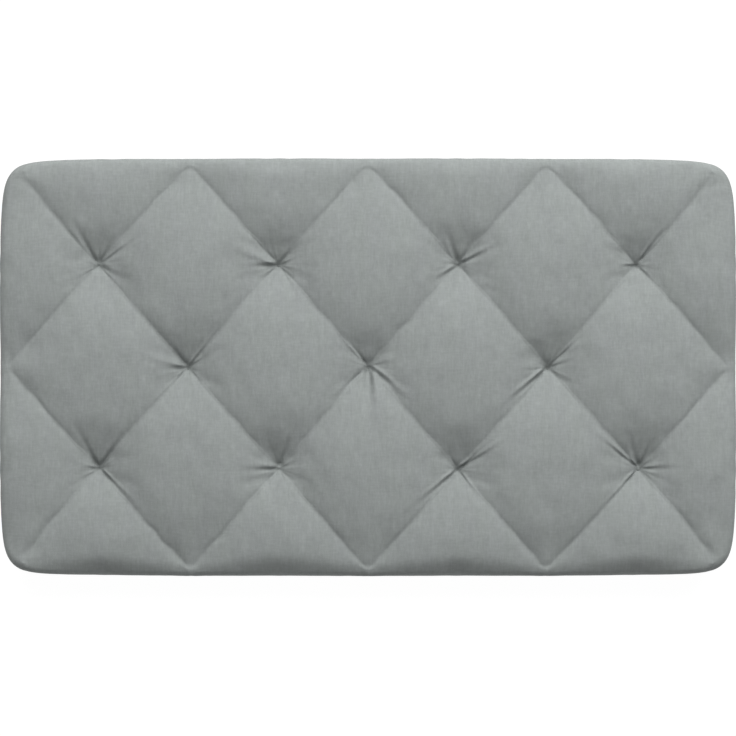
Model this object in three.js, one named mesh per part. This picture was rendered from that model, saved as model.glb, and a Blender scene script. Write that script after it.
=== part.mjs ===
// A headboard cushion, lying on its back with its tufted face up.
// It is one filled pad, whose cloth is drawn down at eleven tufts and pleated along the straight
// lines between them, with a small cloth-covered tack in the bottom of each tuft.
// Sizes are in millimetres. X runs along the width, Y up the headboard and Z out of the tufted
// face. The origin is the middle of the flat back.

import * as THREE from "three";

// Driving sizes of the pad
const WIDTH = 800;
const HEIGHT = 455;
const THICKNESS = 72;
const CORNER_SLACK = 0.0072;

// Half the spacing of the tufts along a row and between the rows
const STEP_X = 97.8;
const STEP_Y = 111.1;
// The face's edge, in half steps from the middle
const STEPS_ACROSS = 4;
const STEPS_UP = 2;

// Depths below the crown of a diamond
const PLEAT_DEPTH = 12;
const TIP_DEPTH = 9;
const CORNER_DEPTH = 7;
// How full the pleats and the crowns are: a lower power is fuller
const PLEAT_POWER = 0.6;
const CROWN_POWER = 0.62;

// The edge rolls over with a large radius between the pleats and a small one at their tips
const EDGE_INSET = 8;
const ROLL_BETWEEN = 24;
const ROLL_AT_TIP = 12;
const BACK_ROLL = 9;
const WALL_DRAW_IN = 1.5;
// The middle of the flat back, as a share of the pad's width and height
const BACK_MIDDLE = 0.75;
// How sharply the corners of the face are pulled in to the outline
const CORNER_PULL = 6;

// Steps of the surface: along the side of a diamond, round the edge, down the wall, to the back
const DIAMOND_STEPS = 12;
const ROLL_STEPS = 3;
const WALL_STEPS = 2;
const BACK_STEPS = 3;
// Share of the steps' spacing that crowds towards the pleats
const CROWDING = 0.6;

// The cloth-covered tacks, and how far their middles are above the bottoms of the tufts
const TACK_WIDTH = 5.6;
const TACK_THICKNESS = 4;
const TACK_LIFT = 6.4;
const TACK_SIDES = 10;
const TACK_RINGS = 6;

const CLOTH_COLOUR = 0x8f9492;
const TACK_COLOUR = 0x7f8482;

// The tufts, by half steps from the middle, with how far each has wandered and its depth
const TUFTS = [
  { column: -3, row: 1, wanderX: 0.0, wanderY: 0.1, depth: 33 },
  { column: -1, row: 1, wanderX: 0.1, wanderY: 0.6, depth: 34 },
  { column: 1, row: 1, wanderX: 0.9, wanderY: 0.6, depth: 35 },
  { column: 3, row: 1, wanderX: -1.5, wanderY: 0.4, depth: 34 },
  { column: -2, row: 0, wanderX: -0.4, wanderY: -0.4, depth: 35 },
  { column: 0, row: 0, wanderX: 0.3, wanderY: 0.8, depth: 34 },
  { column: 2, row: 0, wanderX: 0.3, wanderY: -0.4, depth: 36 },
  { column: -3, row: -1, wanderX: 0.6, wanderY: 1.2, depth: 35 },
  { column: -1, row: -1, wanderX: 0.9, wanderY: 0.5, depth: 34 },
  { column: 1, row: -1, wanderX: 0.1, wanderY: -0.5, depth: 35 },
  { column: 3, row: -1, wanderX: 1.7, wanderY: 0.6, depth: 36 },
];

const OUTER_X = WIDTH / 2 - EDGE_INSET;
const OUTER_Y = HEIGHT / 2 - EDGE_INSET;

const mix = (a, b, share) => a + (b - a) * share;

// 0 at both ends of a diamond's side and 1 at its middle
const arch = (p) => Math.max(0, 4 * p * (1 - p));

// Where step k of a diamond's side lies, closer together at the pleats
function stepPlace(k) {
  const even = k / DIAMOND_STEPS;
  const crowded = (1 - Math.cos(Math.PI * even)) / 2;
  return mix(even, crowded, CROWDING);
}

function tuftAt(column, row) {
  return TUFTS.find((tuft) => tuft.column === column && tuft.row === row);
}

// Depth of the cloth where pleats meet: at a tuft, at a corner, or at a tip on the face's edge.
// A point past the edge mirrors the tuft inside it, so that the face meets its edge level.
function meetingDepth(column, row) {
  const tuft = tuftAt(column, row);
  if (tuft) return tuft.depth;
  const beyondX = Math.abs(column) - STEPS_ACROSS;
  const beyondY = Math.abs(row) - STEPS_UP;
  if (beyondX === 0 && beyondY === 0) return CORNER_DEPTH;
  if (beyondX > 0) return meetingDepth(Math.sign(column) * (STEPS_ACROSS - beyondX), row);
  if (beyondY > 0) return meetingDepth(column, Math.sign(row) * (STEPS_UP - beyondY));
  return TIP_DEPTH;
}

// A diamond is the square [0, 1] x [0, 1] of p and q, with pleats along its four sides
function diamondDepth(u, v, p, q) {
  const depthAt = (du, dv) => meetingDepth(u + du + v + dv, u + du - v - dv);
  const corners = mix(
    mix(depthAt(0, 0), depthAt(1, 0), p),
    mix(depthAt(0, 1), depthAt(1, 1), p),
    q,
  );
  const alongP = arch(p) ** PLEAT_POWER;
  const alongQ = arch(q) ** PLEAT_POWER;
  const awayFromTufts = alongP + alongQ - alongP * alongQ;
  const crown = (arch(p) * arch(q)) ** CROWN_POWER;
  return corners * (1 - awayFromTufts) + PLEAT_DEPTH * awayFromTufts * (1 - crown);
}

// The face's outline is the curve (1 - x²/a²)(1 - y²/b²) = slack, a rounded, slightly bowed
// rectangle. This is how far it lies from the middle in the direction of (x, y), as a share.
function outlineShare(x, y) {
  const fit = 1 - CORNER_SLACK;
  const alongX = ((x / OUTER_X) ** 2) * fit;
  const alongY = ((y / OUTER_Y) ** 2) * fit;
  const sum = alongX + alongY;
  return Math.sqrt((2 * fit) / (sum + Math.sqrt(sum * sum - 4 * alongX * alongY * fit)));
}

// The outward direction of the outline at a point on it
function outlineNormal(x, y) {
  const fit = 1 - CORNER_SLACK;
  const restX = 1 - ((x / OUTER_X) ** 2) * fit;
  const restY = 1 - ((y / OUTER_Y) ** 2) * fit;
  return new THREE.Vector2((x / OUTER_X ** 2) * restY, (y / OUTER_Y ** 2) * restX).normalize();
}

// How far a roll of the given radius has dropped at a distance from the widest line
function rollDrop(radius, distance) {
  const reach = radius - distance;
  return reach > 0 ? radius - Math.sqrt(radius * radius - reach * reach) : 0;
}

// The wander of the four pleat ends round a point, shared out over the diamond
function wander(u, v, p, q) {
  const shift = new THREE.Vector2();
  for (const du of [0, 1]) {
    for (const dv of [0, 1]) {
      const tuft = tuftAt(u + du + v + dv, u + du - v - dv);
      const share = (du ? p : 1 - p) * (dv ? q : 1 - q);
      if (tuft) shift.add(new THREE.Vector2(tuft.wanderX, tuft.wanderY).multiplyScalar(share));
    }
  }
  return shift;
}

// The point of the face at grid lines k and l, which count the steps along the two pleat
// directions, with the radius of the edge's roll there
function facePoint(k, l) {
  const u = Math.floor(k / DIAMOND_STEPS);
  const v = Math.floor(l / DIAMOND_STEPS);
  const p = stepPlace(k - u * DIAMOND_STEPS);
  const q = stepPlace(l - v * DIAMOND_STEPS);
  const across = u + p + v + q;
  const up = u + p - v - q;
  const flat = new THREE.Vector2(across * STEP_X, up * STEP_Y);

  const edgeShare = Math.max(Math.abs(across) / STEPS_ACROSS, Math.abs(up) / STEPS_UP);
  const edgeGrip = edgeShare ** CORNER_PULL;
  if (edgeShare > 0) {
    const onEdge = flat.clone().divideScalar(edgeShare);
    flat.multiplyScalar(1 + (outlineShare(onEdge.x, onEdge.y) - 1) * edgeGrip);
  }
  flat.addScaledVector(wander(u, v, p, q), 1 - edgeGrip);

  const roll = mix(ROLL_AT_TIP, ROLL_BETWEEN, Math.sqrt(arch(p) * arch(q)));
  const toSide = (STEPS_ACROSS - Math.abs(across)) * STEP_X + EDGE_INSET;
  const toTop = (STEPS_UP - Math.abs(up)) * STEP_Y + EDGE_INSET;
  const dropped = rollDrop(roll, toSide) + rollDrop(roll, toTop);
  return { x: flat.x, y: flat.y, z: THICKNESS - diamondDepth(u, v, p, q) - dropped, roll };
}

// Is the grid point on the face, and not past its edge?
function onFace(k, l) {
  const edgeK = STEPS_ACROSS * DIAMOND_STEPS;
  const edgeL = STEPS_UP * DIAMOND_STEPS;
  return Math.abs(k + l) <= edgeK && Math.abs(k - l) <= edgeL;
}

// The offsets out from the face's edge, and the heights, of the rings that go round the edge,
// down the wall and under to the back
function sideProfile(edgeZ, roll) {
  const start = Math.asin(1 - EDGE_INSET / roll);
  const top = edgeZ + roll * (1 - Math.cos(start));
  const rings = [];
  for (let i = 1; i <= ROLL_STEPS; i += 1) {
    const turn = mix(start, Math.PI / 2, i / ROLL_STEPS);
    rings.push({ out: EDGE_INSET - roll * (1 - Math.sin(turn)), z: top - roll * (1 - Math.cos(turn)) });
  }
  for (let i = 1; i <= WALL_STEPS; i += 1) {
    const share = i / WALL_STEPS;
    rings.push({
      out: EDGE_INSET - WALL_DRAW_IN * share * share,
      z: mix(top - roll, BACK_ROLL, share),
    });
  }
  for (let i = 1; i <= BACK_STEPS; i += 1) {
    const turn = ((Math.PI / 2) * i) / BACK_STEPS;
    rings.push({
      out: EDGE_INSET - WALL_DRAW_IN - BACK_ROLL * (1 - Math.cos(turn)),
      z: BACK_ROLL * (1 - Math.sin(turn)),
    });
  }
  return rings;
}

// The grid points along the face's edge, clockwise from its top left corner
function edgeLoop() {
  const n = DIAMOND_STEPS;
  const sides = [
    { stepK: 1, stepL: 1, count: STEPS_ACROSS * n },
    { stepK: -1, stepL: 1, count: STEPS_UP * n },
    { stepK: -1, stepL: -1, count: STEPS_ACROSS * n },
    { stepK: 1, stepL: -1, count: STEPS_UP * n },
  ];
  let k = ((STEPS_UP - STEPS_ACROSS) / 2) * n;
  let l = ((-STEPS_UP - STEPS_ACROSS) / 2) * n;
  const loop = [];
  for (const side of sides) {
    for (let i = 0; i < side.count; i += 1) {
      loop.push([k, l]);
      k += side.stepK;
      l += side.stepL;
    }
  }
  return loop;
}

function padGeometry() {
  const points = [];
  const triangles = [];
  const added = new Map();
  const addPoint = (x, y, z) => points.push(x, y, z) / 3 - 1;
  const addFacePoint = (k, l) => {
    const key = `${k},${l}`;
    if (!added.has(key)) {
      const point = facePoint(k, l);
      added.set(key, addPoint(point.x, point.y, point.z));
    }
    return added.get(key);
  };
  const heightOf = (index) => points[3 * index + 2];

  // The tufted face: each square of the grid is two triangles, split along its higher
  // diagonal, and a square that the edge cuts is one
  const reach = ((STEPS_ACROSS + STEPS_UP) / 2) * DIAMOND_STEPS;
  for (let k = -reach; k < reach; k += 1) {
    for (let l = -reach; l < reach; l += 1) {
      const around = [[k, l], [k, l + 1], [k + 1, l + 1], [k + 1, l]].filter((at) => onFace(...at));
      if (around.length < 3) continue;
      const [a, b, c, d] = around.map((at) => addFacePoint(...at));
      if (d === undefined) triangles.push(a, b, c);
      else if (heightOf(a) + heightOf(c) > heightOf(b) + heightOf(d)) triangles.push(a, b, c, a, c, d);
      else triangles.push(a, b, d, b, c, d);
    }
  }

  // The rolled edge, the wall and the turn to the back
  const columns = edgeLoop().map(([k, l]) => {
    const edge = facePoint(k, l);
    const normal = outlineNormal(edge.x, edge.y);
    const rings = sideProfile(edge.z, edge.roll).map((ring) =>
      addPoint(edge.x + normal.x * ring.out, edge.y + normal.y * ring.out, ring.z),
    );
    return [addFacePoint(k, l), ...rings];
  });
  columns.forEach((column, i) => {
    const next = columns[(i + 1) % columns.length];
    for (let ring = 1; ring < column.length; ring += 1) {
      triangles.push(column[ring - 1], next[ring - 1], next[ring]);
      triangles.push(column[ring - 1], next[ring], column[ring]);
    }
  });

  // The flat back: a rectangle in its middle, joined to the last ring from its own four corners
  const middleX = (BACK_MIDDLE * WIDTH) / 2;
  const middleY = (BACK_MIDDLE * HEIGHT) / 2;
  const rectangle = { left: {}, right: {} };
  rectangle.left.top = addPoint(-middleX, middleY, 0);
  rectangle.right.top = addPoint(middleX, middleY, 0);
  rectangle.right.bottom = addPoint(middleX, -middleY, 0);
  rectangle.left.bottom = addPoint(-middleX, -middleY, 0);
  const cornerFor = (index) => {
    const side = points[3 * index] < 0 ? rectangle.left : rectangle.right;
    return points[3 * index + 1] < 0 ? side.bottom : side.top;
  };
  columns.forEach((column, i) => {
    const here = column.at(-1);
    const next = columns[(i + 1) % columns.length].at(-1);
    triangles.push(here, next, cornerFor(here));
    if (cornerFor(next) !== cornerFor(here)) triangles.push(next, cornerFor(next), cornerFor(here));
  });
  triangles.push(rectangle.left.top, rectangle.right.top, rectangle.right.bottom);
  triangles.push(rectangle.left.top, rectangle.right.bottom, rectangle.left.bottom);

  const geometry = new THREE.BufferGeometry();
  geometry.setAttribute("position", new THREE.Float32BufferAttribute(points, 3));
  geometry.setIndex(triangles);
  geometry.computeVertexNormals();
  return geometry;
}

function tackGeometry() {
  const geometry = new THREE.SphereGeometry(TACK_WIDTH / 2, TACK_SIDES, TACK_RINGS);
  geometry.rotateX(Math.PI / 2);
  geometry.scale(1, 1, TACK_THICKNESS / TACK_WIDTH);
  return geometry;
}

const cloth = new THREE.MeshStandardMaterial({ color: CLOTH_COLOUR, roughness: 0.95, metalness: 0 });
const tackCloth = new THREE.MeshStandardMaterial({ color: TACK_COLOUR, roughness: 0.95, metalness: 0 });

const cushion = new THREE.Group();

const pad = new THREE.Mesh(padGeometry(), cloth);
pad.name = "tufted_pad";
cushion.add(pad);

TUFTS.forEach(({ column, row }, i) => {
  const tack = new THREE.Mesh(tackGeometry(), tackCloth);
  tack.name = `tuft_tack_${String(i + 1).padStart(2, "0")}`;
  const bottom = facePoint(((column + row) / 2) * DIAMOND_STEPS, ((column - row) / 2) * DIAMOND_STEPS);
  tack.position.set(bottom.x, bottom.y, bottom.z + TACK_LIFT);
  cushion.add(tack);
});

export default cushion;
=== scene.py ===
import math
from collections import namedtuple

import bpy
import numpy as np
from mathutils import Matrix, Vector


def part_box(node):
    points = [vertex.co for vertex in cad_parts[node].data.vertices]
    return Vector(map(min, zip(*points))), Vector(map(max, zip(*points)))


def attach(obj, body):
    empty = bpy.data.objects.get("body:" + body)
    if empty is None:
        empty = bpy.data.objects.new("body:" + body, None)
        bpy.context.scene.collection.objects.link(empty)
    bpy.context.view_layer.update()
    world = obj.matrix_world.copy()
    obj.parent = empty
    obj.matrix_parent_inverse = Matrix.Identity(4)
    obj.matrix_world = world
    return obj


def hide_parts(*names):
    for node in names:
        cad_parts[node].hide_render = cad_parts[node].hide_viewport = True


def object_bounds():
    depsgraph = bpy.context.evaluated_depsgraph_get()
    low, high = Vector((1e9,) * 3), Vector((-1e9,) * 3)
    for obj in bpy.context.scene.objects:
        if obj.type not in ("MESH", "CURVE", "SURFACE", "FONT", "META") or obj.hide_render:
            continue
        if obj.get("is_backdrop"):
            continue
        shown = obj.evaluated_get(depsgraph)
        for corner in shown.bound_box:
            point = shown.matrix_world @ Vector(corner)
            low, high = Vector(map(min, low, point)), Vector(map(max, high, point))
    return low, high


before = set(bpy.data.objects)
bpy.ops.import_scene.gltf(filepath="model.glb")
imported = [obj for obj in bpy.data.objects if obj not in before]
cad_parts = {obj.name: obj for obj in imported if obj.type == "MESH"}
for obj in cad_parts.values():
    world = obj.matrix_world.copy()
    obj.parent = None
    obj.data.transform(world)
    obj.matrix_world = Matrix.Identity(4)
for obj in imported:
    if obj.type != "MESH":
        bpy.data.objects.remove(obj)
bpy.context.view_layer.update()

bpy.ops.object.select_all(action="DESELECT")

# The padded cover
# One large panel of light grey linen-look cloth, laid over thick foam and drawn down at eleven
# tufts. The spare cloth between the tufts is folded into straight pleats, which leaves a crowned
# diamond between every four of them. The same cloth rolls over the edge and down the walls.

# Lengths are in metres. A place on the face is counted from its middle in half steps from tuft to
# tuft, first across and then up. A tack's middle lies TACK_LIFT above the floor of its tuft.
STEP_X, STEP_Y = 0.0978, 0.1111
STEPS_ACROSS, STEPS_UP = 4, 2
TUFT_PLACES = [
    (-3, 1), (-1, 1), (1, 1), (3, 1),
    (-2, 0), (0, 0), (2, 0),
    (-3, -1), (-1, -1), (1, -1), (3, -1),
]
TACK_LIFT = 0.0064

# How far below the crowns the pleats, their tips on the edge and the face's corners lie. Round a
# corner the pleats are shallower, by the share CORNER_EASE.
PLEAT_DEPTH = 0.0135
TIP_DEPTH = 0.0145
CORNER_DEPTH = 0.004
CORNER_REACH = 0.045
CORNER_EASE = 0.7
PLEAT_POWER = 0.6
CROWN_POWER = 0.62
CORNER_SLACK = 0.0072
CORNER_PULL = 6

# Radii of the edge's roll, which is tight at a pleat's tip and wide between two tips. The face's
# edge lies EDGE_INSET inside the cushion's outline, and the walls are drawn in towards the back.
EDGE_INSET = 0.008
ROLL_AT_SIDES = 0.016
ROLL_AT_TOP = 0.022
ROLL_AT_BOTTOM = 0.038
ROLL_AT_TIP = 0.0085
ROLL_AT_CORNER = 0.013
ROLL_POWER = 0.6
ROLL_SOFTNESS = 0.12
BACK_ROLL = 0.009
WALL_DRAW_IN = 0.0015

SIDE_STEPS = 24
CROWDING = 0.6
ROLL_RINGS, WALL_RINGS, BACK_RINGS = 4, 5, 3
WELD = 1e-4
ON_PLEAT = 1e-3
ROUNDING = 1e-6
ALMOST_NONE = 1e-9

half_width, half_height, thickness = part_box("tufted_pad")[1]
outer = np.array((half_width - EDGE_INSET, half_height - EDGE_INSET))
step = np.array((STEP_X, STEP_Y))
most_steps = np.array((STEPS_ACROSS, STEPS_UP))

tufts = {}
for number, place in enumerate(TUFT_PLACES, start=1):
    low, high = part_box(f"tuft_tack_{number:02d}")
    tufts[place] = (low + high) / 2 - Vector((0, 0, TACK_LIFT))


def arch(share):
    """0 at both ends of a diamond's side and 1 at its middle."""
    return np.clip(4 * share * (1 - share), 0, None)


def blend(first, second, share):
    return first + (second - first) * share


def bell(distance, width):
    """1 at no distance, and falling away to both sides over this width."""
    return np.exp(-((distance / width) ** 2))


def outline_share(flat):
    """How much farther from the middle the face's outline lies than each point, as a share."""
    fit = 1 - CORNER_SLACK
    along = (flat / outer) ** 2 * fit
    total = along.sum(axis=1)
    return np.sqrt(2 * fit / (total + np.sqrt(total**2 - 4 * along.prod(axis=1) * fit)))


def outline_normal(flat):
    """The way straight out of the face's outline, for points on it."""
    fit = 1 - CORNER_SLACK
    rest = 1 - (flat / outer) ** 2 * fit
    normal = flat / outer**2 * rest[:, ::-1]
    return normal / np.linalg.norm(normal, axis=1)[:, None]


def drawn_to_outline(steps):
    """Plane places of points given in half steps, with the face's edge pulled in to its outline."""
    flat = steps * step
    share = np.maximum(np.abs(steps[:, 0]) / STEPS_ACROSS, np.abs(steps[:, 1]) / STEPS_UP)
    on_edge = flat / np.maximum(share, ALMOST_NONE)[:, None]
    on_edge[share < ALMOST_NONE] = outer * (1, 0)
    pull = (outline_share(on_edge) - 1) * share**CORNER_PULL
    return flat * (1 + pull)[:, None]


def meeting(column, row):
    """Depth and wander of the cloth where pleats meet: at a tuft, a corner or a tip on the edge.

    A point past the edge mirrors the tuft inside it, so that the face meets its edge level."""
    if (column, row) in tufts:
        place = tufts[column, row]
        ideal = drawn_to_outline(np.array([[column, row]], float))[0]
        return thickness - place.z, place.x - ideal[0], place.y - ideal[1]
    beyond_x = abs(column) - STEPS_ACROSS
    beyond_y = abs(row) - STEPS_UP
    if beyond_x > 0:
        depth, x, y = meeting(int(math.copysign(STEPS_ACROSS - beyond_x, column)), row)
        return depth, -x, -y
    if beyond_y > 0:
        depth, x, y = meeting(column, int(math.copysign(STEPS_UP - beyond_y, row)))
        return depth, -x, -y
    return (CORNER_DEPTH if beyond_x == beyond_y == 0 else TIP_DEPTH), 0, 0


MOST_CELLS = (STEPS_ACROSS + STEPS_UP) // 2
meetings = np.zeros((2 * MOST_CELLS + 2, 2 * MOST_CELLS + 2, 3))
for u in range(-MOST_CELLS, MOST_CELLS + 1):
    for v in range(-MOST_CELLS, MOST_CELLS + 1):
        if abs(u + v) <= STEPS_ACROSS + 1 and abs(u - v) <= STEPS_UP + 1:
            meetings[u + MOST_CELLS, v + MOST_CELLS] = meeting(u + v, u - v)


def diamond_of(steps):
    """The diamond that each point is in, by its first corner, and the shares along its sides."""
    pleats = np.stack((steps[:, 0] + steps[:, 1], steps[:, 0] - steps[:, 1]), axis=1) / 2
    corner = np.clip(np.floor(pleats + ROUNDING).astype(int), -MOST_CELLS, MOST_CELLS)
    return corner, np.clip(pleats - corner, 0, 1)


def at_corners(corner, share, values):
    """Values at the four corners of each point's diamond, blended over the diamond."""
    u, v = (corner + MOST_CELLS).T
    p, q = share.T[:, :, None]
    return blend(
        blend(values[u, v], values[u + 1, v], p),
        blend(values[u, v + 1], values[u + 1, v + 1], p),
        q,
    )


def roll_drop(radius, distance):
    """How far a roll of this radius has dropped at a distance from its end."""
    reach = np.clip(radius - distance, 0, None)
    return radius - np.sqrt(radius**2 - reach**2)


def laid_face(steps):
    """The face's places for points given in half steps, and the radius of the edge's roll there."""
    corner, share = diamond_of(steps)
    ends = at_corners(corner, share, meetings)
    along_p, along_q = (arch(share) ** PLEAT_POWER).T
    away = along_p + along_q - along_p * along_q
    crown = arch(share).prod(axis=1) ** CROWN_POWER
    inside = (most_steps - np.abs(steps)) * step
    at_corner = bell(np.linalg.norm(inside, axis=1), CORNER_REACH)
    depth = ends[:, 0] * (1 - away)
    depth = depth + PLEAT_DEPTH * away * (1 - crown) * (1 - CORNER_EASE * at_corner)
    from_tip = 1 - np.sqrt(1 - np.sqrt(arch(share).prod(axis=1)))
    roll_share = np.hypot(from_tip**ROLL_POWER, ROLL_SOFTNESS) - ROLL_SOFTNESS
    between_tips = np.where(
        steps[:, 1:] > 0, (ROLL_AT_SIDES, ROLL_AT_TOP), (ROLL_AT_SIDES, ROLL_AT_BOTTOM)
    )
    roll = blend(ROLL_AT_TIP, between_tips, roll_share[:, None])
    roll = blend(roll, ROLL_AT_CORNER, at_corner[:, None])
    dropped = roll_drop(roll, inside + EDGE_INSET).sum(axis=1)
    flat = drawn_to_outline(steps) + ends[:, 1:]
    return np.column_stack((flat, thickness - depth - dropped)), roll


def side_profile(edge_z, roll, ring):
    """How far out from the face's edge, how high and how far along the cloth each point lies."""
    start = np.arcsin(1 - EDGE_INSET / roll)
    top = edge_z + roll * (1 - np.cos(start))
    turned = np.clip(ring / ROLL_RINGS, 0, 1)
    down = np.clip((ring - ROLL_RINGS) / WALL_RINGS, 0, 1)
    under = np.clip((ring - ROLL_RINGS - WALL_RINGS) / BACK_RINGS, 0, 1)
    turn = blend(start, math.pi / 2, turned)
    back_turn = under * math.pi / 2
    out = EDGE_INSET - roll * (1 - np.sin(turn))
    out = out - WALL_DRAW_IN * down**2 - BACK_ROLL * (1 - np.cos(back_turn))
    wall = top - roll - BACK_ROLL
    height = top - roll * (1 - np.cos(turn)) - wall * down - BACK_ROLL * np.sin(back_turn)
    along = roll * (turn - start) + wall * down + BACK_ROLL * back_turn
    return out, height, along


def select_rim():
    """Selects the open edge of the cover, and nothing else."""
    bpy.ops.mesh.select_all(action="DESELECT")
    bpy.ops.mesh.select_non_manifold(
        extend=False, use_wire=False, use_multi_face=False, use_non_contiguous=False
    )


# A square grid, turned so that its lines run along the pleats, is cut to the face's edge. Its rim
# is drawn down in rings for the edge's roll, the walls and the back roll.
cells = 2 * MOST_CELLS
lines = cells * SIDE_STEPS
bpy.ops.mesh.primitive_grid_add(x_subdivisions=lines, y_subdivisions=lines, size=cells)
cover = bpy.context.object
cover.name = "padded_cover"
bpy.ops.object.mode_set(mode="EDIT")
bpy.ops.mesh.select_all(action="SELECT")
bpy.ops.transform.rotate(value=math.pi / 4, orient_axis="Z", center_override=(0, 0, 0))
bpy.ops.transform.resize(value=(math.sqrt(2), math.sqrt(2), 1), center_override=(0, 0, 0))
for cut in ((STEPS_ACROSS, 0), (-STEPS_ACROSS, 0), (0, STEPS_UP), (0, -STEPS_UP)):
    bpy.ops.mesh.select_all(action="SELECT")
    bpy.ops.mesh.bisect(plane_co=(*cut, 0), plane_no=(*cut, 0), clear_outer=True, threshold=WELD)
bpy.ops.mesh.select_all(action="SELECT")
bpy.ops.mesh.remove_doubles(threshold=WELD)
select_rim()
for ring in range(ROLL_RINGS + WALL_RINGS + BACK_RINGS):
    bpy.ops.mesh.extrude_edges_move(TRANSFORM_OT_translate={"value": (0, 0, -1)})
bpy.ops.object.mode_set(mode="OBJECT")


def read_points(mesh):
    points = np.empty(3 * len(mesh.vertices))
    mesh.vertices.foreach_get("co", points)
    return points.reshape(-1, 3)


def write_points(mesh, points):
    mesh.vertices.foreach_set("co", points.astype(np.float32).ravel())
    mesh.update()


def read_vectors(mesh, name):
    vectors = np.empty(3 * len(mesh.vertices))
    mesh.attributes[name].data.foreach_get("vector", vectors)
    return vectors.reshape(-1, 3)


def write_vectors(mesh, name, vectors):
    way = mesh.attributes.get(name) or mesh.attributes.new(name, "FLOAT_VECTOR", "POINT")
    way.data.foreach_set("vector", vectors.astype(np.float32).ravel())


def crowd(steps):
    """Moves the grid's lines closer together at the pleats."""
    corner, share = diamond_of(steps)
    crowded = blend(share, (1 - np.cos(math.pi * share)) / 2, CROWDING) + corner
    return np.stack((crowded[:, 0] + crowded[:, 1], crowded[:, 0] - crowded[:, 1]), axis=1)


grid = read_points(cover.data)
ring = -grid[:, 2]
steps = crowd(grid[:, :2])
places, roll = laid_face(steps)
normal = outline_normal(places[:, :2] + ALMOST_NONE)
out, height, along = side_profile(places[:, 2], (roll * normal**2).sum(axis=1), ring)
weave = places[:, :2].copy()
on_side = ring > 0.5
places[on_side, :2] += normal[on_side] * out[on_side, None]
places[on_side, 2] = height[on_side]
weave[on_side] += normal[on_side] * along[on_side, None]
write_points(cover.data, places)

write_vectors(cover.data, "weave_way", np.column_stack((weave, np.zeros(len(weave)))))
write_vectors(cover.data, "lattice", np.column_stack((steps, ring)))
bpy.ops.object.mode_set(mode="EDIT")
bpy.ops.mesh.select_all(action="SELECT")
bpy.ops.mesh.normals_make_consistent(inside=False)
bpy.ops.object.mode_set(mode="OBJECT")

# The foam pushes the cloth out between the tufts. The cloth is a little larger than the shape that
# it starts from, and it is held at the tufts, along the pleats and on the edge's roll and walls.
PRESSURE = 12
CLOTH_MASS = 0.001
CLOTH_STIFFNESS = 0.3
PLEAT_HOLD = 0.3
TIP_HOLD = 0.8
ROLL_HOLD = 0.5
FIRM_HOLD = 1.0
NEAR_TUFT = 0.004
NEAR_RIM = 0.025
SPARE_CLOTH = 0.005
SLACK_AT_START = 0.0035
MOST_SWELL = 0.008
FRAMES = 20

corner, share = diamond_of(steps)
on_pleat = np.minimum(share, 1 - share).min(axis=1) < ON_PLEAT
tuft_places = np.array([place[:2] for place in tufts.values()])


def to_tuft(places):
    """The way from the nearest tuft to each place."""
    ways = places[:, None, :2] - tuft_places[None]
    nearest = np.linalg.norm(ways, axis=2).argmin(axis=1)
    return ways[np.arange(len(places)), nearest]


slack = places.copy()
slack[~on_side, 2] -= SLACK_AT_START * np.sqrt(arch(share).prod(axis=1))[~on_side]
write_points(cover.data, slack)
near_tuft = np.linalg.norm(to_tuft(places), axis=1) < NEAR_TUFT
near_rim = ((most_steps - np.abs(steps)) * step).min(axis=1) < NEAR_RIM
held = cover.vertex_groups.new(name="held")
held.add(np.flatnonzero(on_pleat & ~on_side).tolist(), PLEAT_HOLD, "REPLACE")
held.add(np.flatnonzero(on_pleat & ~on_side & near_rim).tolist(), TIP_HOLD, "REPLACE")
held.add(np.flatnonzero(on_side).tolist(), ROLL_HOLD, "REPLACE")
firm = on_pleat & near_tuft | (ring > ROLL_RINGS)
held.add(np.flatnonzero(firm).tolist(), FIRM_HOLD, "REPLACE")
cloth = cover.modifiers.new("pad", "CLOTH")
cloth.settings.vertex_group_mass = held.name
cloth.settings.use_pressure = True
cloth.settings.uniform_pressure_force = PRESSURE
cloth.settings.mass = CLOTH_MASS
cloth.settings.bending_stiffness = CLOTH_STIFFNESS
cloth.settings.shrink_min = -SPARE_CLOTH
cloth.settings.effector_weights.gravity = 0
cloth.collision_settings.use_collision = False
cloth.point_cache.frame_end = FRAMES
for number in range(1, FRAMES + 1):
    bpy.context.scene.frame_set(number)
bpy.ops.object.modifier_apply(modifier=cloth.name)
swell = read_points(cover.data) - slack
distance = np.linalg.norm(swell, axis=1)
swell *= np.minimum(1, MOST_SWELL / np.maximum(distance, ALMOST_NONE))[:, None]
write_points(cover.data, slack + swell)

finer = cover.modifiers.new("finer", "SUBSURF")
finer.levels = 1
finer.render_levels = 1
bpy.ops.object.modifier_apply(modifier=finer.name)
bpy.ops.object.shade_smooth()


def ramp(value, start, end):
    """Rises smoothly from 0 at start to 1 at end."""
    share = np.clip((value - start) / (end - start), 0, 1)
    return share * share * (3 - 2 * share)


# Round each tuft, as far out as this, the mesh is made finer, so that small folds can be laid in it.
REFINED = 0.052
from_tuft = np.linalg.norm(to_tuft(read_points(cover.data)), axis=1)
bpy.ops.object.mode_set(mode="EDIT")
bpy.ops.mesh.select_all(action="DESELECT")
bpy.ops.mesh.select_mode(type="VERT")
bpy.ops.object.mode_set(mode="OBJECT")
cover.data.vertices.foreach_set("select", from_tuft < REFINED)
bpy.ops.object.mode_set(mode="EDIT")
bpy.ops.mesh.subdivide(number_cuts=1, smoothness=0)
bpy.ops.object.mode_set(mode="OBJECT")

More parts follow.
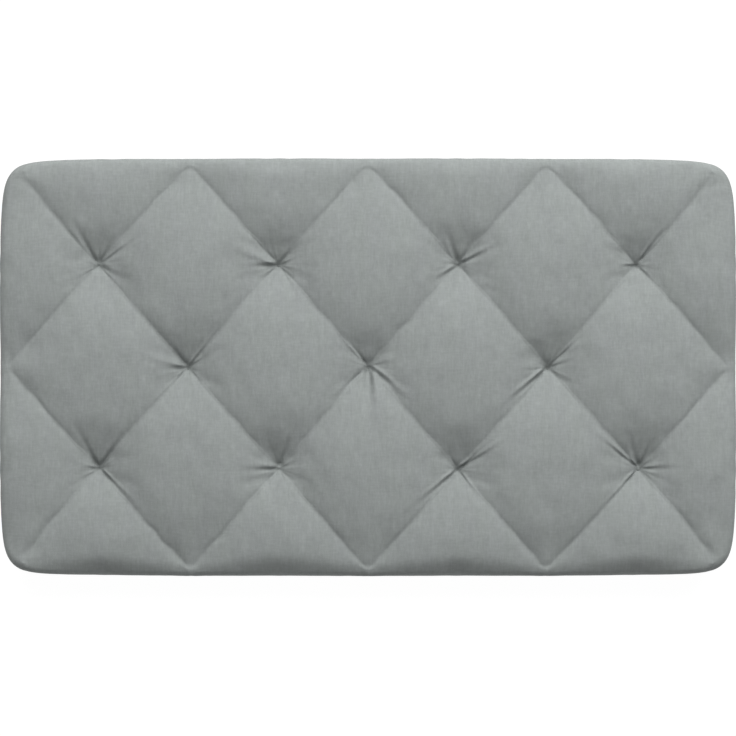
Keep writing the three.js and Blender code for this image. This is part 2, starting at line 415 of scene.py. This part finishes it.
# The pleats: two crowns meet in a crease, which the cloth bridges with a small hollow curve, and the
# crease wanders a little. Both fade out at the tufts, the rim and the face's corners. Near the rim
# the crease is sharp. A pair of numbers is where such a change starts and where it ends.
PLEAT_GAP = 2 * STEP_X * STEP_Y / math.hypot(STEP_X, STEP_Y)
CREASE_SLOPE, CREASE_WIDTH, CREASE_END = 0.36, 0.0023, (0.006, 0.014)
CREASE_FROM_TUFT, CREASE_FROM_RIM, CREASE_FROM_CORNER = (0.004, 0.030), (0.001, 0.012), (0.012, 0.045)
CREASE_WANDER, WANDER_SIZE, WANDER_END = 0.0006, 0.013, (0.002, 0.014)
RIM_CREASE, RIM_CREASE_WIDTH = 0.0013, 0.0032
RIM_CREASE_START, RIM_CREASE_END = (-0.001, 0.006), (0.020, 0.060)

# At a tuft the cloth runs out level round the tack. A small hole opens below the tack, and a wide
# shallow hollow above it.
PIT_SLOPE, PIT_WIDTH, PIT_SHIFT, PIT_END = 0.8, 0.0055, 0.0015, (0.009, 0.022)
HOLE_DEPTH, HOLE_WIDTH, HOLE_SHIFT = 0.0022, 0.0045, 0.0025
HOLLOW_DEPTH, HOLLOW_WIDTH, HOLLOW_SHIFT = 0.0008, 0.0140, 0.0030

DRIFT_WAVES, DRIFT_LENGTHS, DRIFT_EASE = 14, (1.5, 3.0), 4


def drift(flat, size, seed):
    """A smooth random height, mostly between -1 and 1, with rises and hollows of about this size."""
    random = np.random.default_rng(seed)
    turns = random.uniform(0, 2 * math.pi, (2, DRIFT_WAVES))
    waves = 2 * math.pi / (size * random.uniform(*DRIFT_LENGTHS, DRIFT_WAVES))
    phases = flat @ np.stack((np.cos(turns[0]), np.sin(turns[0]))) * waves + turns[1]
    return np.cos(phases).sum(axis=1) / DRIFT_EASE


places = read_points(cover.data)
laid = read_vectors(cover.data, "lattice")
ring = laid[:, 2]
corner, share = diamond_of(laid[:, :2])
way = to_tuft(places)
from_tuft = np.linalg.norm(way, axis=1)
side_fade = 1 - ramp(ring, 0, ROLL_RINGS + 2)
to_pleat = np.minimum(share, 1 - share).min(axis=1) * PLEAT_GAP
to_edges = (most_steps - np.abs(laid[:, :2])) * step
inside, from_corner = to_edges.min(axis=1), np.linalg.norm(to_edges, axis=1)
crease_fade = ramp(from_tuft, *CREASE_FROM_TUFT) * ramp(inside, *CREASE_FROM_RIM)
crease_fade *= ramp(from_corner, *CREASE_FROM_CORNER)
filled = CREASE_SLOPE * (np.hypot(to_pleat, CREASE_WIDTH) - to_pleat)
places[:, 2] += filled * (1 - ramp(to_pleat, *CREASE_END)) * crease_fade
at_rim = ramp(inside, *RIM_CREASE_START) * (1 - ramp(inside, *RIM_CREASE_END)) * side_fade
places[:, 2] -= RIM_CREASE * np.exp(-to_pleat / RIM_CREASE_WIDTH) * at_rim
from_pit = np.linalg.norm(way - (0, PIT_SHIFT), axis=1)
levelled = PIT_SLOPE * (np.hypot(from_pit, PIT_WIDTH) - from_pit)
places[:, 2] += levelled * (1 - ramp(from_pit, *PIT_END))
places[:, 2] -= HOLE_DEPTH * bell(np.linalg.norm(way + (0, HOLE_SHIFT), axis=1), HOLE_WIDTH)
places[:, 2] -= HOLLOW_DEPTH * bell(np.linalg.norm(way - (0, HOLLOW_SHIFT), axis=1), HOLLOW_WIDTH)
wander = CREASE_WANDER * crease_fade * (1 - ramp(to_pleat, *WANDER_END))
places[:, 0] += wander * drift(places[:, :2], WANDER_SIZE, 1)
places[:, 1] += wander * drift(places[:, :2], WANDER_SIZE, 2)

# Between the folds that show, fine gathers run out from every tuft, and the crowns are never quite
# even. A gather count is how many gathers there are round one tuft, and they lie over each other.
GATHER_COUNTS = (7, 9, 11, 13, 16, 19, 23)
GATHER_HEIGHT = 0.00024
GATHER_TWIST = 40
GATHER_START = (0.003, 0.009)
GATHER_REACH = 0.020
UNEVENNESS, UNEVEN_SIZE = 0.00028, 0.016
BROAD_UNEVENNESS, BROAD_SIZE = 1.8 * UNEVENNESS, 0.036

random = np.random.default_rng(5)
bearing = np.arctan2(way[:, 1], way[:, 0])
nearest = np.linalg.norm(places[:, None, :2] - tuft_places[None], axis=2).argmin(axis=1)
gathers = np.zeros(len(places))
for count in GATHER_COUNTS:
    turned = random.uniform(0, 2 * math.pi, len(tuft_places))[nearest]
    wave = np.cos(count * bearing + turned + GATHER_TWIST * from_tuft)
    gathers += wave / math.sqrt(count / GATHER_COUNTS[0])
gathers *= GATHER_HEIGHT * ramp(from_tuft, *GATHER_START) * np.exp(-from_tuft / GATHER_REACH)
places[:, 2] += gathers
places[:, 2] += UNEVENNESS * side_fade * drift(places[:, :2], UNEVEN_SIZE, 3)
places[:, 2] += BROAD_UNEVENNESS * side_fade * drift(places[:, :2], BROAD_SIZE, 4)

# The folds that fan out from each tuft. heading is in degrees: 0 runs to the right and 90 up the
# face. The sizes are in millimetres. A fold is a trough of this depth, or a ridge if depth is below
# 0. Beside it lies a ridge, on its left if ridge is above 0 and on its right if it is below. bend is
# how far its end has swung to the left.
FOLD_START = (-2, 5)
FOLD_FADE = 0.8
FOLD_WIDENING = (0.6, 1.1)
RIDGE_OFFSET = 1.6
MILLIMETRES = 1000

Fold = namedtuple("Fold", "heading start reach width depth ridge bend")
FOLDS = {
    (-3, 1): [
        Fold(119, 2, 46, 3.2, 2.7, 0.7, 0), Fold(132, 4, 60, 1.9, 1.1, 0.0, 0),
        Fold(88, 2, 24, 3.0, 2.4, 0.0, 0), Fold(56, 2, 26, 3.0, 3.1, -0.7, 0),
        Fold(33, 3, 45, 2.2, 1.6, 1.2, 0), Fold(-27, 4, 27, 3.5, 1.2, 0.7, 0),
        Fold(-48, 4, 40, 2.0, 1.1, 0.0, 0), Fold(-132, 4, 40, 1.8, 0.7, 0.0, 0),
    ],
    (-1, 1): [
        Fold(185, 2, 28, 2.7, 2.6, -1.8, 0), Fold(9, 2, 17, 2.4, 2.2, 1.2, 2),
        Fold(133, 3, 50, 2.2, 1.2, 0.0, 0), Fold(47, 2, 24, 2.7, 2.2, 0.5, 0),
        Fold(157, 3, 46, 5.4, -4.0, 0.0, 0), Fold(227, 5, 30, 1.9, 0.9, 0.5, 0),
        Fold(-58, 4, 34, 1.9, 0.9, 0.7, 0), Fold(-46, 4, 32, 1.9, 0.9, 0.0, 0),
    ],
    (1, 1): [
        Fold(110, 2, 38, 3.5, 3.6, 0.8, 0), Fold(62, 2, 18, 3.0, 2.2, 0.0, 0),
        Fold(25, 2, 43, 3.0, 2.6, 1.9, 0), Fold(175, 2, 16, 2.4, 1.6, 0.5, 0),
        Fold(216, 3, 26, 2.4, 1.4, -1.8, 0), Fold(-50, 4, 36, 1.9, 0.7, 0.0, 0),
    ],
    (3, 1): [
        Fold(193, 2, 20, 2.4, 1.9, -1.5, 0), Fold(46, 4, 50, 2.0, 1.6, 0.0, 0),
        Fold(53, 6, 46, 1.9, 1.4, 0.7, 0), Fold(133, 3, 44, 1.8, 0.9, 0.0, 0),
        Fold(-49, 4, 40, 1.9, 0.9, 0.5, 0), Fold(-58, 6, 38, 1.9, 0.8, 0.0, 0),
    ],
    (-2, 0): [
        Fold(130, 2, 52, 4.3, 2.8, 0.0, 0), Fold(48, 3, 46, 2.2, 1.6, 1.2, 0),
        Fold(27, 2, 21, 2.7, 2.3, 0.7, 0), Fold(-9, 3, 22, 2.7, 0.8, 0.0, 0),
        Fold(183, 2, 19, 2.7, 2.3, -1.5, 0), Fold(163, 4, 46, 4.6, -2.7, 0.0, 0),
        Fold(229, 5, 50, 1.9, 0.8, -0.7, 0), Fold(-50, 4, 40, 1.9, 0.9, 0.0, 0),
    ],
    (0, 0): [
        Fold(138, 3, 30, 1.8, 1.9, 0.0, 0), Fold(127, 3, 32, 1.8, 2.0, 1.2, 0),
        Fold(-33, 2, 42, 3.0, 2.0, 2.2, -7), Fold(219, 9, 44, 2.7, 3.0, 1.2, 4),
        Fold(-90, 3, 46, 6.0, 6.0, 4.1, 0), Fold(70, 2, 22, 4.1, 1.2, 0.0, 0),
        Fold(12, 3, 20, 2.7, 0.7, 0.0, 0),
    ],
    (2, 0): [
        Fold(221, 3, 50, 2.7, 2.4, -3.6, 0), Fold(43, 3, 60, 2.0, 1.5, 0.5, 0),
        Fold(16, 2, 23, 2.6, 2.3, 0.7, 0), Fold(191, 2, 16, 2.2, 1.4, 0.0, 0),
        Fold(-50, 4, 40, 1.9, 0.7, 0.0, 0), Fold(230, 6, 52, 1.9, 1.2, -0.7, 0),
    ],
    (-3, -1): [
        Fold(117, 2, 50, 3.5, 2.4, 0.5, 0), Fold(127, 4, 46, 3.0, 1.6, 0.0, 0),
        Fold(52, 2, 55, 3.5, 2.8, 0.7, 0), Fold(183, 2, 16, 2.6, 2.2, -0.7, 0),
        Fold(7, 2, 16, 2.4, 1.6, 0.5, 0), Fold(24, 4, 28, 2.4, 0.7, 0.0, 0),
        Fold(-45, 3, 44, 2.4, 1.8, 1.6, 0),
    ],
    (-1, -1): [
        Fold(96, 2, 22, 5.4, 3.2, 0.0, 0), Fold(69, 2, 40, 3.2, 2.6, 0.5, 0),
        Fold(110, 2, 26, 3.0, 1.5, 0.0, 0), Fold(182, 2, 34, 3.4, 2.2, -1.4, 0),
        Fold(160, 4, 36, 3.8, -1.2, 0.0, 0), Fold(21, 3, 23, 2.4, 1.1, 0.0, 0),
        Fold(225, 6, 44, 1.8, 0.9, 0.0, 0), Fold(232, 5, 40, 1.8, 0.9, 0.0, 0),
    ],
    (1, -1): [
        Fold(31, 2, 50, 2.7, 2.4, 1.9, 0), Fold(41, 4, 52, 1.9, 1.6, 0.5, 0),
        Fold(220, 3, 50, 2.6, 2.3, -2.0, 0), Fold(-57, 3, 32, 2.2, 1.4, 1.5, 0),
        Fold(231, 6, 46, 1.9, 1.1, 0.0, 0),
    ],
    (3, -1): [
        Fold(143, 3, 52, 2.4, 2.3, -2.2, 0), Fold(132, 3, 50, 2.0, 1.6, 0.5, 0),
        Fold(107, 2, 34, 3.2, 3.6, 0.7, 0), Fold(86, 2, 26, 2.7, 3.0, 0.0, 0),
        Fold(66, 2, 30, 3.0, 3.1, 0.4, 0), Fold(30, 2, 22, 2.4, 2.0, 0.7, 0),
        Fold(2, 2, 35, 2.6, 2.3, 0.7, 0), Fold(228, 3, 57, 2.4, 2.0, -1.6, 0),
        Fold(-57, 5, 38, 2.0, 0.8, 0.0, 0),
    ],
}

for tuft, folds in FOLDS.items():
    way = places[:, :2] - np.array(tufts[tuft][:2])
    for fold in folds:
        heading = math.radians(fold.heading)
        along = way @ np.array((math.cos(heading), math.sin(heading))) * MILLIMETRES
        left = way @ np.array((-math.sin(heading), math.cos(heading))) * MILLIMETRES
        run = np.clip(along / fold.reach, 0, 1)
        left -= fold.bend * run**2
        width = fold.width * blend(*FOLD_WIDENING, run)
        strength = ramp(along, fold.start + FOLD_START[0], fold.start + FOLD_START[1])
        strength *= bell(along, FOLD_FADE * fold.reach)
        beside = left - math.copysign(RIDGE_OFFSET, fold.ridge) * width
        lift = abs(fold.ridge) * bell(beside, width) - fold.depth * bell(left, width)
        places[:, 2] += lift * strength / MILLIMETRES
write_points(cover.data, places)


class Wire:
    """A socket of a finish, on which Python's operators add the finish's Math nodes."""

    def __init__(self, finish, socket):
        self.finish = finish
        self.socket = socket

    def __add__(self, other):
        return self.finish.maths("ADD", self, other)

    def __sub__(self, other):
        return self.finish.maths("SUBTRACT", self, other)

    def __rsub__(self, other):
        return self.finish.maths("SUBTRACT", other, self)

    def __mul__(self, other):
        return self.finish.maths("MULTIPLY", self, other)

    __radd__ = __add__
    __rmul__ = __mul__


class Finish:
    """A material that is put together from nodes."""

    def __init__(self, name):
        self.material = bpy.data.materials.new(name)
        self.material.use_nodes = True
        self.tree = self.material.node_tree
        self.tree.nodes.clear()

    def add(self, kind, settings=None, sockets=None, output=0):
        """Adds a node with these settings, and with values or links for its sockets."""
        node = self.tree.nodes.new(kind)
        for name, value in (settings or {}).items():
            setattr(node, name, value)
        for name, value in (sockets or {}).items():
            if isinstance(value, Wire):
                self.tree.links.new(value.socket, node.inputs[name])
            else:
                node.inputs[name].default_value = value
        return Wire(self, node.outputs[output]) if node.outputs else None

    def maths(self, operation, *values):
        return self.add("ShaderNodeMath", {"operation": operation}, dict(enumerate(values)))


# The cloth's patterns, as changes to the metre across and up the cloth. Slubs and streaks are long
# along their yarns. A slub thickens and lightens its yarn, which thins to THIN_YARN at the least.
WARP_SLUBS, WEFT_SLUBS, WARP_STREAKS = (520, 120), (105, 480), (230, 34)
CLOUDS, MOTTLE, HUE_PATCHES = (24, 24), (120, 120), (60, 18)
THIN_YARN = -0.12
YARN_PITCH = 0.0009
WARP_TONE, WEFT_TONE, STREAK_TONE = 0.26, 0.22, 0.16
# THREAD_DIP_SHADE darkens the weave where its yarns dip, as painted shade between the yarns.
CLOUD_TONE, MOTTLE_TONE, THREAD_DIP_SHADE = 0.14, 0.13, 0.02
THREAD_HEIGHT, WARP_HEIGHT, WEFT_HEIGHT = 0.3, 1.6, 1.2
CLOTH_COLOUR = (0.209, 0.226, 0.218)
CLOTH_BLUER = (0.210, 0.222, 0.224)
LESS_BLUE = 0.2


def cloth_finish(name, colour, bluer_colour):
    """Plain-woven linen-look cloth: uneven yarns both ways, slubs, a slight cloudiness, and painted
    shade where the weave dips.
    """
    finish = Finish(name)
    place = finish.add("ShaderNodeAttribute", {"attribute_name": "weave_way"}, output="Vector")

    def pattern(changes, detail, move):
        """A noise about 0.5, moved along the cloth so that no two patterns agree."""
        stretched = finish.add("ShaderNodeVectorMath", {"operation": "MULTIPLY_ADD"},
                               {0: place, 1: (*changes, 1), 2: (move, move, 0)})
        return finish.add("ShaderNodeTexNoise", {},
                          {"Vector": stretched, "Scale": 1.0, "Detail": detail})

    def threads(direction):
        """Evenly spaced ridges across this direction."""
        wave = finish.add("ShaderNodeVectorMath", {"operation": "DOT_PRODUCT"},
                          {0: place, 1: direction}, output="Value")
        return finish.maths("SINE", wave * (2 * math.pi / YARN_PITCH))

    warp_slub = finish.maths("MAXIMUM", pattern(WARP_SLUBS, 2, 0) - 0.5, THIN_YARN)
    weft_slub = finish.maths("MAXIMUM", pattern(WEFT_SLUBS, 2, 7) - 0.5, THIN_YARN)
    warp_streak = pattern(WARP_STREAKS, 1, 3) - 0.5
    cloud = pattern(CLOUDS, 3, 5) - 0.5
    mottle = pattern(MOTTLE, 2, 9) - 0.5
    warp, weft = threads((1, 0, 0)), threads((0, 1, 0))
    crossing = warp * weft

    tone = 1 + WARP_TONE * warp_slub + WEFT_TONE * weft_slub + STREAK_TONE * warp_streak
    # The crossing term is painted shade: darker where the weave dips, lighter where it rises.
    tone = tone + CLOUD_TONE * cloud + MOTTLE_TONE * mottle + THREAD_DIP_SHADE * crossing
    hue = pattern(HUE_PATCHES, 2, 11) - LESS_BLUE
    base = finish.add("ShaderNodeMix", {"data_type": "RGBA"},
                      {"Factor": hue, "A": (*colour, 1), "B": (*bluer_colour, 1)}, output=2)
    shaded = finish.add("ShaderNodeMix", {"data_type": "RGBA", "blend_type": "MULTIPLY"},
                        {"Factor": 1.0, "A": base, "B": tone}, output=2)
    height = THREAD_HEIGHT * crossing + WARP_HEIGHT * warp_slub + WEFT_HEIGHT * weft_slub
    bump = finish.add("ShaderNodeBump", {},
                      {"Height": height, "Strength": 0.30, "Distance": 0.0003})
    surface = finish.add("ShaderNodeBsdfPrincipled", {}, {
        "Base Color": shaded,
        "Roughness": 0.88 + 0.2 * cloud,
        "Sheen Weight": 0.04,
        "Sheen Roughness": 0.6,
        "Specular IOR Level": 0.2,
        "Normal": bump,
    })
    finish.add("ShaderNodeOutputMaterial", {}, {"Surface": surface})
    return finish.material


cover.data.materials.append(cloth_finish("grey_linen_cloth", CLOTH_COLOUR, CLOTH_BLUER))

# The cloth's margin is turned over the back edge, and a plain back panel with its own edge turned
# under is laid on it. Each ring is how far in from the back's edge it lies, and how high. The weave
# of the back lies flat, seen from behind, and comes from elsewhere on the cloth.
WEAVE_MIRROR, WEAVE_SHIFT = (-1, 1), (1.5, 0)
BACK_LAYING = [
    (0.006, 0.0004), (0.0140, 0.0008), (0.0160, 0.0010), (0.0161, 0.0004), (0.0168, 0.0001),
    (0.0182, 0.0001), (0.0200, 0.0003), (0.0215, 0.0004), (0.0235, 0.0002), (0.028, 0.0003),
    (0.060, 0.0006), (0.110, 0.00075),
]
cloth_points = len(cover.data.vertices)
bpy.ops.object.mode_set(mode="EDIT")
select_rim()
back_x, back_y = half_width - BACK_ROLL - WALL_DRAW_IN, half_height - BACK_ROLL - WALL_DRAW_IN
laid_in, laid_up = 0.0, 0.0
for way_in, height in BACK_LAYING:
    bpy.ops.mesh.extrude_edges_move(TRANSFORM_OT_translate={"value": (0, 0, height - laid_up)})
    smaller = ((back_x - way_in) / (back_x - laid_in), (back_y - way_in) / (back_y - laid_in), 1)
    bpy.ops.transform.resize(value=smaller, center_override=(0, 0, 0))
    laid_in, laid_up = way_in, height
bpy.ops.mesh.edge_face_add()
bpy.ops.object.mode_set(mode="OBJECT")
bpy.ops.object.shade_smooth()

weave = read_vectors(cover.data, "weave_way")
places = read_points(cover.data)
new = np.arange(len(weave)) >= cloth_points
weave[new, :2] = places[new, :2] * WEAVE_MIRROR + WEAVE_SHIFT
write_vectors(cover.data, "weave_way", weave)

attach(cover, "root")
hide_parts("tufted_pad")

# The tuft tacks
# Eleven small domed nubs covered in the same cloth, gathered under their rims. Their cloth's colour
# is painted darker than the cover's, as painted shade for the pit round each tack. Each is drawn down
# through the foam by a thread behind it, so the cover closes round it and almost hides it. The
# bottom right one stands a little prouder and shows.
TACK_RADIUS = 0.0026
TACK_FLATNESS = 0.62
TACK_RIM = 0.0005
TACK_GATHERS = 12
GATHERED_IN = 0.86
TACK_RISE = 0.0022
TACK_PROUD = {(3, -1): 0.0018}
# The tacks' colours are the cover's cloth colours made darker: painted shade for the pit round each
# tack.
TACK_PAINTED_SHADE_COLOUR = (0.180, 0.195, 0.188)
TACK_PAINTED_SHADE_BLUER = (0.181, 0.192, 0.193)

bpy.ops.object.select_all(action="DESELECT")
bpy.ops.mesh.primitive_uv_sphere_add(segments=2 * TACK_GATHERS, ring_count=12, radius=TACK_RADIUS)
tack = bpy.context.object
bpy.ops.object.mode_set(mode="EDIT")
bpy.ops.mesh.select_all(action="SELECT")
bpy.ops.transform.resize(value=(1, 1, TACK_FLATNESS), center_override=(0, 0, 0))
bpy.ops.mesh.select_all(action="DESELECT")
bpy.ops.object.mode_set(mode="OBJECT")
for vertex in tack.data.vertices:
    turn = math.atan2(vertex.co.y, vertex.co.x) / (2 * math.pi) * 2 * TACK_GATHERS
    under_rim = vertex.co.z < TACK_RIM and vertex.co.xy.length > TACK_RIM
    vertex.select = round(turn) % 2 == 0 and under_rim
bpy.ops.object.mode_set(mode="EDIT")
bpy.ops.transform.resize(value=(GATHERED_IN, GATHERED_IN, 1), center_override=(0, 0, 0))
bpy.ops.object.mode_set(mode="OBJECT")
# A darker copy of the cloth finish, as painted shade on the tacks.
tack_shaded_finish = cloth_finish("tack_cloth", TACK_PAINTED_SHADE_COLOUR, TACK_PAINTED_SHADE_BLUER)
for number, (tuft, place) in enumerate(tufts.items(), start=1):
    nub = tack.copy()
    nub.data = tack.data.copy()
    nub.name = f"tuft_nub_{number:02d}"
    bpy.context.collection.objects.link(nub)
    points = read_points(nub.data)
    rise = TACK_RISE + TACK_PROUD.get(tuft, 0)
    write_points(nub.data, points + np.array(place) + (0, 0, rise))
    write_vectors(nub.data, "weave_way", points + (place.x, place.y, 0))
    nub.data.materials.append(tack_shaded_finish)
    nub.data.polygons.foreach_set("use_smooth", [True] * len(nub.data.polygons))
    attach(nub, "root")
    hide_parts(f"tuft_tack_{number:02d}")
bpy.data.objects.remove(tack)

# The studio
# A plain pale floor with a glow of its own, a broad soft light from beyond the cushion's top edge,
# and a camera straight above.
FLOOR_SIZE = 200
FLOOR_LEVEL = -0.0005
STUDIO_LIGHT = 0.31
LIGHT_PLACE = (0.45, 2.0, 2.2)
LIGHT_TURN = (-math.radians(42), math.radians(9), 0)
LIGHT_SIZE = (3.8, 2.2)
LIGHT_POWER = 165

bpy.ops.mesh.primitive_plane_add(size=FLOOR_SIZE, location=(0, 0, FLOOR_LEVEL))
floor = bpy.context.object
floor.name = "floor"
floor_finish = Finish("pale_floor")
floor_surface = floor_finish.add("ShaderNodeBsdfPrincipled", {}, {
    "Base Color": (0.06, 0.06, 0.06, 1),
    "Roughness": 0.9,
    "Emission Color": (1, 1, 1, 1),
    "Emission Strength": 0.97,
})
floor_finish.add("ShaderNodeOutputMaterial", {}, {"Surface": floor_surface})
floor.data.materials.append(floor_finish.material)
floor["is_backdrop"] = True

world = bpy.context.scene.world or bpy.data.worlds.new("studio")
bpy.context.scene.world = world
world.use_nodes = True
background = world.node_tree.nodes["Background"]
background.inputs["Color"].default_value = (1, 1, 1, 1)
background.inputs["Strength"].default_value = STUDIO_LIGHT

bpy.ops.object.light_add(type="AREA", location=LIGHT_PLACE, rotation=LIGHT_TURN)
key = bpy.context.object
key.data.shape = "RECTANGLE"
key.data.size, key.data.size_y = LIGHT_SIZE
key.data.energy = LIGHT_POWER

# The photo's width shows VIEW_WIDTH of the object at the height where its outline is widest.
CAMERA_HEIGHT = 3.0
CAMERA_SHIFT = -0.0006
OUTLINE_HEIGHT = 0.045
VIEW_WIDTH = 0.8021
bpy.ops.object.camera_add(location=(0, CAMERA_SHIFT, CAMERA_HEIGHT), rotation=(0, 0, 0))
camera = bpy.context.object
camera.data.lens = camera.data.sensor_width * (CAMERA_HEIGHT - OUTLINE_HEIGHT) / VIEW_WIDTH
bpy.context.scene.camera = camera
bpy.context.scene.view_settings.view_transform = "Standard"

low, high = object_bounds()
